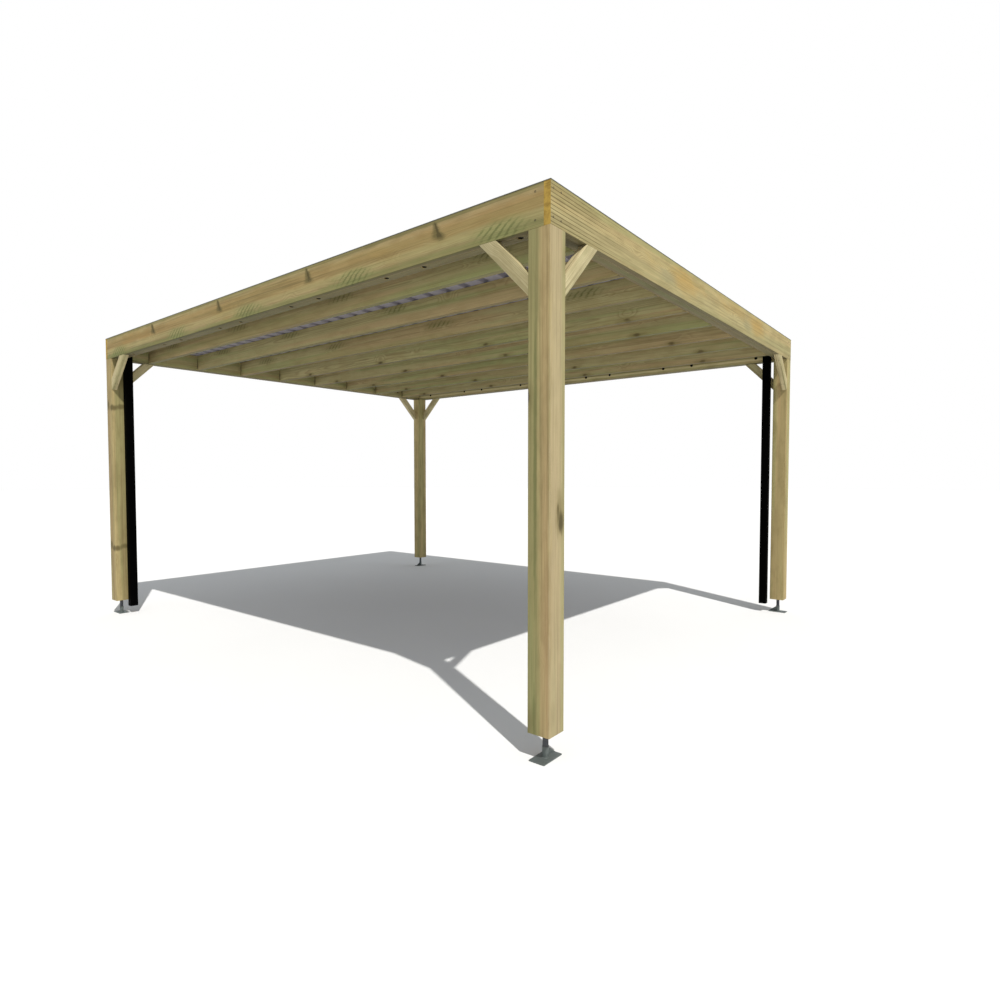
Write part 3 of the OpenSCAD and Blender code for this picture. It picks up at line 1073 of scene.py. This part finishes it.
def lap(number):
    """A thin cap over the rib that two sheets share."""
    seam = (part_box(SHEETS[number])[1].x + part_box(SHEETS[number + 1])[0].x) / 2
    top, foot = sheet_high.z + 0.2 * MM, sheet_low.z + SHEET_T + 2 * MM
    profile = [(-HALF_CROWN + 3 * MM, top), (HALF_CROWN + 0.8 * MM, top),
               (HALF_CROWN + SLOPE_RUN - 1.5 * MM + 1.6 * MM, foot)]
    bm = bmesh.new()
    start = sheet_low.y + LAP_INSET
    verts = [bm.verts.new((seam + across, start, height)) for across, height in profile]
    edges = [bm.edges.new(pair) for pair in zip(verts, verts[1:])]
    made = bmesh.ops.extrude_edge_only(bm, edges=edges)["geom"]
    length = sheet_high.y - sheet_low.y - 2 * LAP_INSET
    bmesh.ops.translate(bm, vec=(0, length, 0), verts=verts_in(made))
    bmesh.ops.recalc_face_normals(bm, faces=bm.faces)
    bmesh.ops.solidify(bm, geom=list(bm.faces), thickness=LAP_T)
    tidy(bm)
    return keep(bm, f"sheet_lap_{number + 1}", coating, "roof_steel")


laps = [lap(number) for number in range(len(SHEETS) - 1)]
print(len(laps), "laps, ribs", round(rib_pitch, 3), "m apart")


# %% Screw the sheets down
def roof_screw(bm, washers, point):
    """A hexagon head on a bonded washer."""
    layers = ((washers, 9 * MM, 0, 1.6 * MM, 14), (bm, 6.5 * MM, 1.6 * MM, 2.4 * MM, 14),
              (bm, 4.6 * MM, 2.4 * MM, 7 * MM, 6))
    for target, radius, low_z, high_z, segments in layers:
        place = Matrix.Translation(point + Vector((0, 0, (low_z + high_z) / 2)))
        bmesh.ops.create_cone(target, cap_ends=True, segments=segments, radius1=radius,
                              radius2=radius * 0.9, depth=high_z - low_z, matrix=place)


bm, washers = bmesh.new(), bmesh.new()
count = 0
for sheet in SHEETS:
    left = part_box(sheet)[0].x
    for row, joist in enumerate(JOISTS):
        joist_low, joist_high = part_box(joist)
        middle = (joist_low.y + joist_high.y) / 2
        every = 1 if row in (0, len(JOISTS) - 1) else 2
        for rib in range(0, RIBS, every):
            trough = left + (rib + 0.5) * rib_pitch
            roof_screw(bm, washers, Vector((trough, middle, sheet_low.z + SHEET_T)))
            count += 1
keep(bm, "roof_screws", bright_steel, "trim_metal")
keep(washers, "roof_washers", washer_rubber, "pipe_plastic")
print(count, "roof screws")

# %% [markdown]
# ## Edge trim
# A folded metal trim caps the top of the ring: it turns down a few
# millimetres over the fascia's outer face, which shows from below as a thin
# dark line, and it turns down inside too. Each fold is a loop of four mitred
# corners, and bridging the loops gives the folded sheet.

# %% Make the edge trim
TRIM_W, TRIM_T = 40 * MM, 0.9 * MM
OUTSIDE, LIP, INNER_LIP = 1.2 * MM, 2.5 * MM, 9 * MM


def corner_loop(bm, outset, height):
    """A level loop of four edges round the ring."""
    corners = [(-1, -1), (1, -1), (1, 1), (-1, 1)]
    verts = [bm.verts.new((x * (HALF_X + outset), y * (HALF_Y + outset), height))
             for x, y in corners]
    return [bm.edges.new((verts[i], verts[(i + 1) % 4])) for i in range(4)]


bm = bmesh.new()
trim_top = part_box("roof_edge_trim")[1].z - TRIM_T
folds = [(OUTSIDE, RING_TOP - LIP), (OUTSIDE, trim_top),
         (-TRIM_W, trim_top), (-TRIM_W, RING_TOP - INNER_LIP)]
loops = [corner_loop(bm, outset, height) for outset, height in folds]
for first, second in zip(loops, loops[1:]):
    bmesh.ops.bridge_loops(bm, edges=first + second)
bmesh.ops.recalc_face_normals(bm, faces=bm.faces)
bmesh.ops.solidify(bm, geom=list(bm.faces), thickness=TRIM_T)
tidy(bm)
trim = keep(bm, "edge_trim", trim_metal, "trim_metal", "roof_edge_trim")
print("edge trim", [round(d, 4) for d in trim.dimensions])

# %% [markdown]
# ## Gutter straps
# Flat straps tie the gutter's two walls together under the sheets' ends, and
# hold it to the beam. They show only from above.

# %% Make the gutter straps
STRAPS, HALF_STRAP = 9, 12 * MM
bm = bmesh.new()
for side in ("front", "back"):
    low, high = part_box("gutter_" + side)
    for step in range(STRAPS):
        middle = low.x + (step + 0.5) * (high.x - low.x) / STRAPS
        box_between(bm, Vector((middle - HALF_STRAP, low.y, high.z - 3 * MM)),
                    Vector((middle + HALF_STRAP, high.y, high.z - 1 * MM)))
keep(bm, "gutter_straps", bright_steel, "gutter_metal")
print(2 * STRAPS, "gutter straps")

# %% [markdown]
# ## Floor, light and camera
# The floor is a wide pale disc, so that the carport throws its shadow on
# something. A high sun and a pale sky light it, and the sky is plain white
# where the camera sees it. The camera stands near the right front corner.

# %% Lay the floor
floor_finish = Finish("pale_floor", Roughness=0.9, Specular_IOR_Level=0.1)
place = floor_finish.node("ShaderNodeTexCoord", out="Object")
cloud = noise(floor_finish, place, scale=0.6, detail=3.0)
floor_tone = mix(floor_finish, cloud, [0.80, 0.80, 0.80, 1.0], [0.84, 0.84, 0.84, 1.0])
bm = bmesh.new()
bmesh.ops.create_circle(bm, cap_ends=True, segments=96, radius=60.0)
floor = in_scene("floor", mesh_of(bm, "floor"))
floor.data.materials.append(floor_finish.surface(Base_Color=floor_tone))
print("floor", round(floor.dimensions.x), "m across")

# %% Set the sky
world = bpy.data.worlds.new("studio")
bpy.context.scene.world = world
world.use_nodes = True
tree = world.node_tree
sky = tree.nodes["Background"]
sky.inputs["Color"].default_value = (0.93, 0.97, 1.0, 1.0)
sky.inputs["Strength"].default_value = 0.5
plain = tree.nodes.new("ShaderNodeBackground")
plain.inputs["Color"].default_value = (1.0, 1.0, 1.0, 1.0)
plain.inputs["Strength"].default_value = 1.0
path = tree.nodes.new("ShaderNodeLightPath")
choose = tree.nodes.new("ShaderNodeMixShader")
tree.links.new(path.outputs["Is Camera Ray"], choose.inputs[0])
tree.links.new(sky.outputs[0], choose.inputs[1])
tree.links.new(plain.outputs[0], choose.inputs[2])
tree.links.new(choose.outputs[0], tree.nodes["World Output"].inputs[0])
bpy.context.scene.view_settings.view_transform = "Standard"
print("sky strength", sky.inputs["Strength"].default_value)

# %% Set the sun and the camera
SUN_FROM = Vector((0.507, -0.26, 0.822))
sun = bpy.data.lights.new("sun", "SUN")
sun.energy = 3.4
sun.angle = math.radians(0.8)
sun.color = (1.0, 0.98, 0.94)
lamp = in_scene("sun", sun)
lamp.rotation_euler = SUN_FROM.to_track_quat("Z", "Y").to_euler()

TILT_DOWN, TURN_LEFT = math.radians(2.228), math.radians(38.586)
lens = bpy.data.cameras.new("camera")
lens.sensor_width = 36.0
lens.lens = 22.195
lens.clip_end = 200.0
camera = in_scene("camera", lens)
camera.location = (4.0151, -4.2742, 1.2949)
camera.rotation_euler = (math.radians(90) - TILT_DOWN, 0.0, TURN_LEFT)
bpy.context.scene.camera = camera
print("camera", round(camera.location.z, 2), "m above the floor")

# %% [markdown]
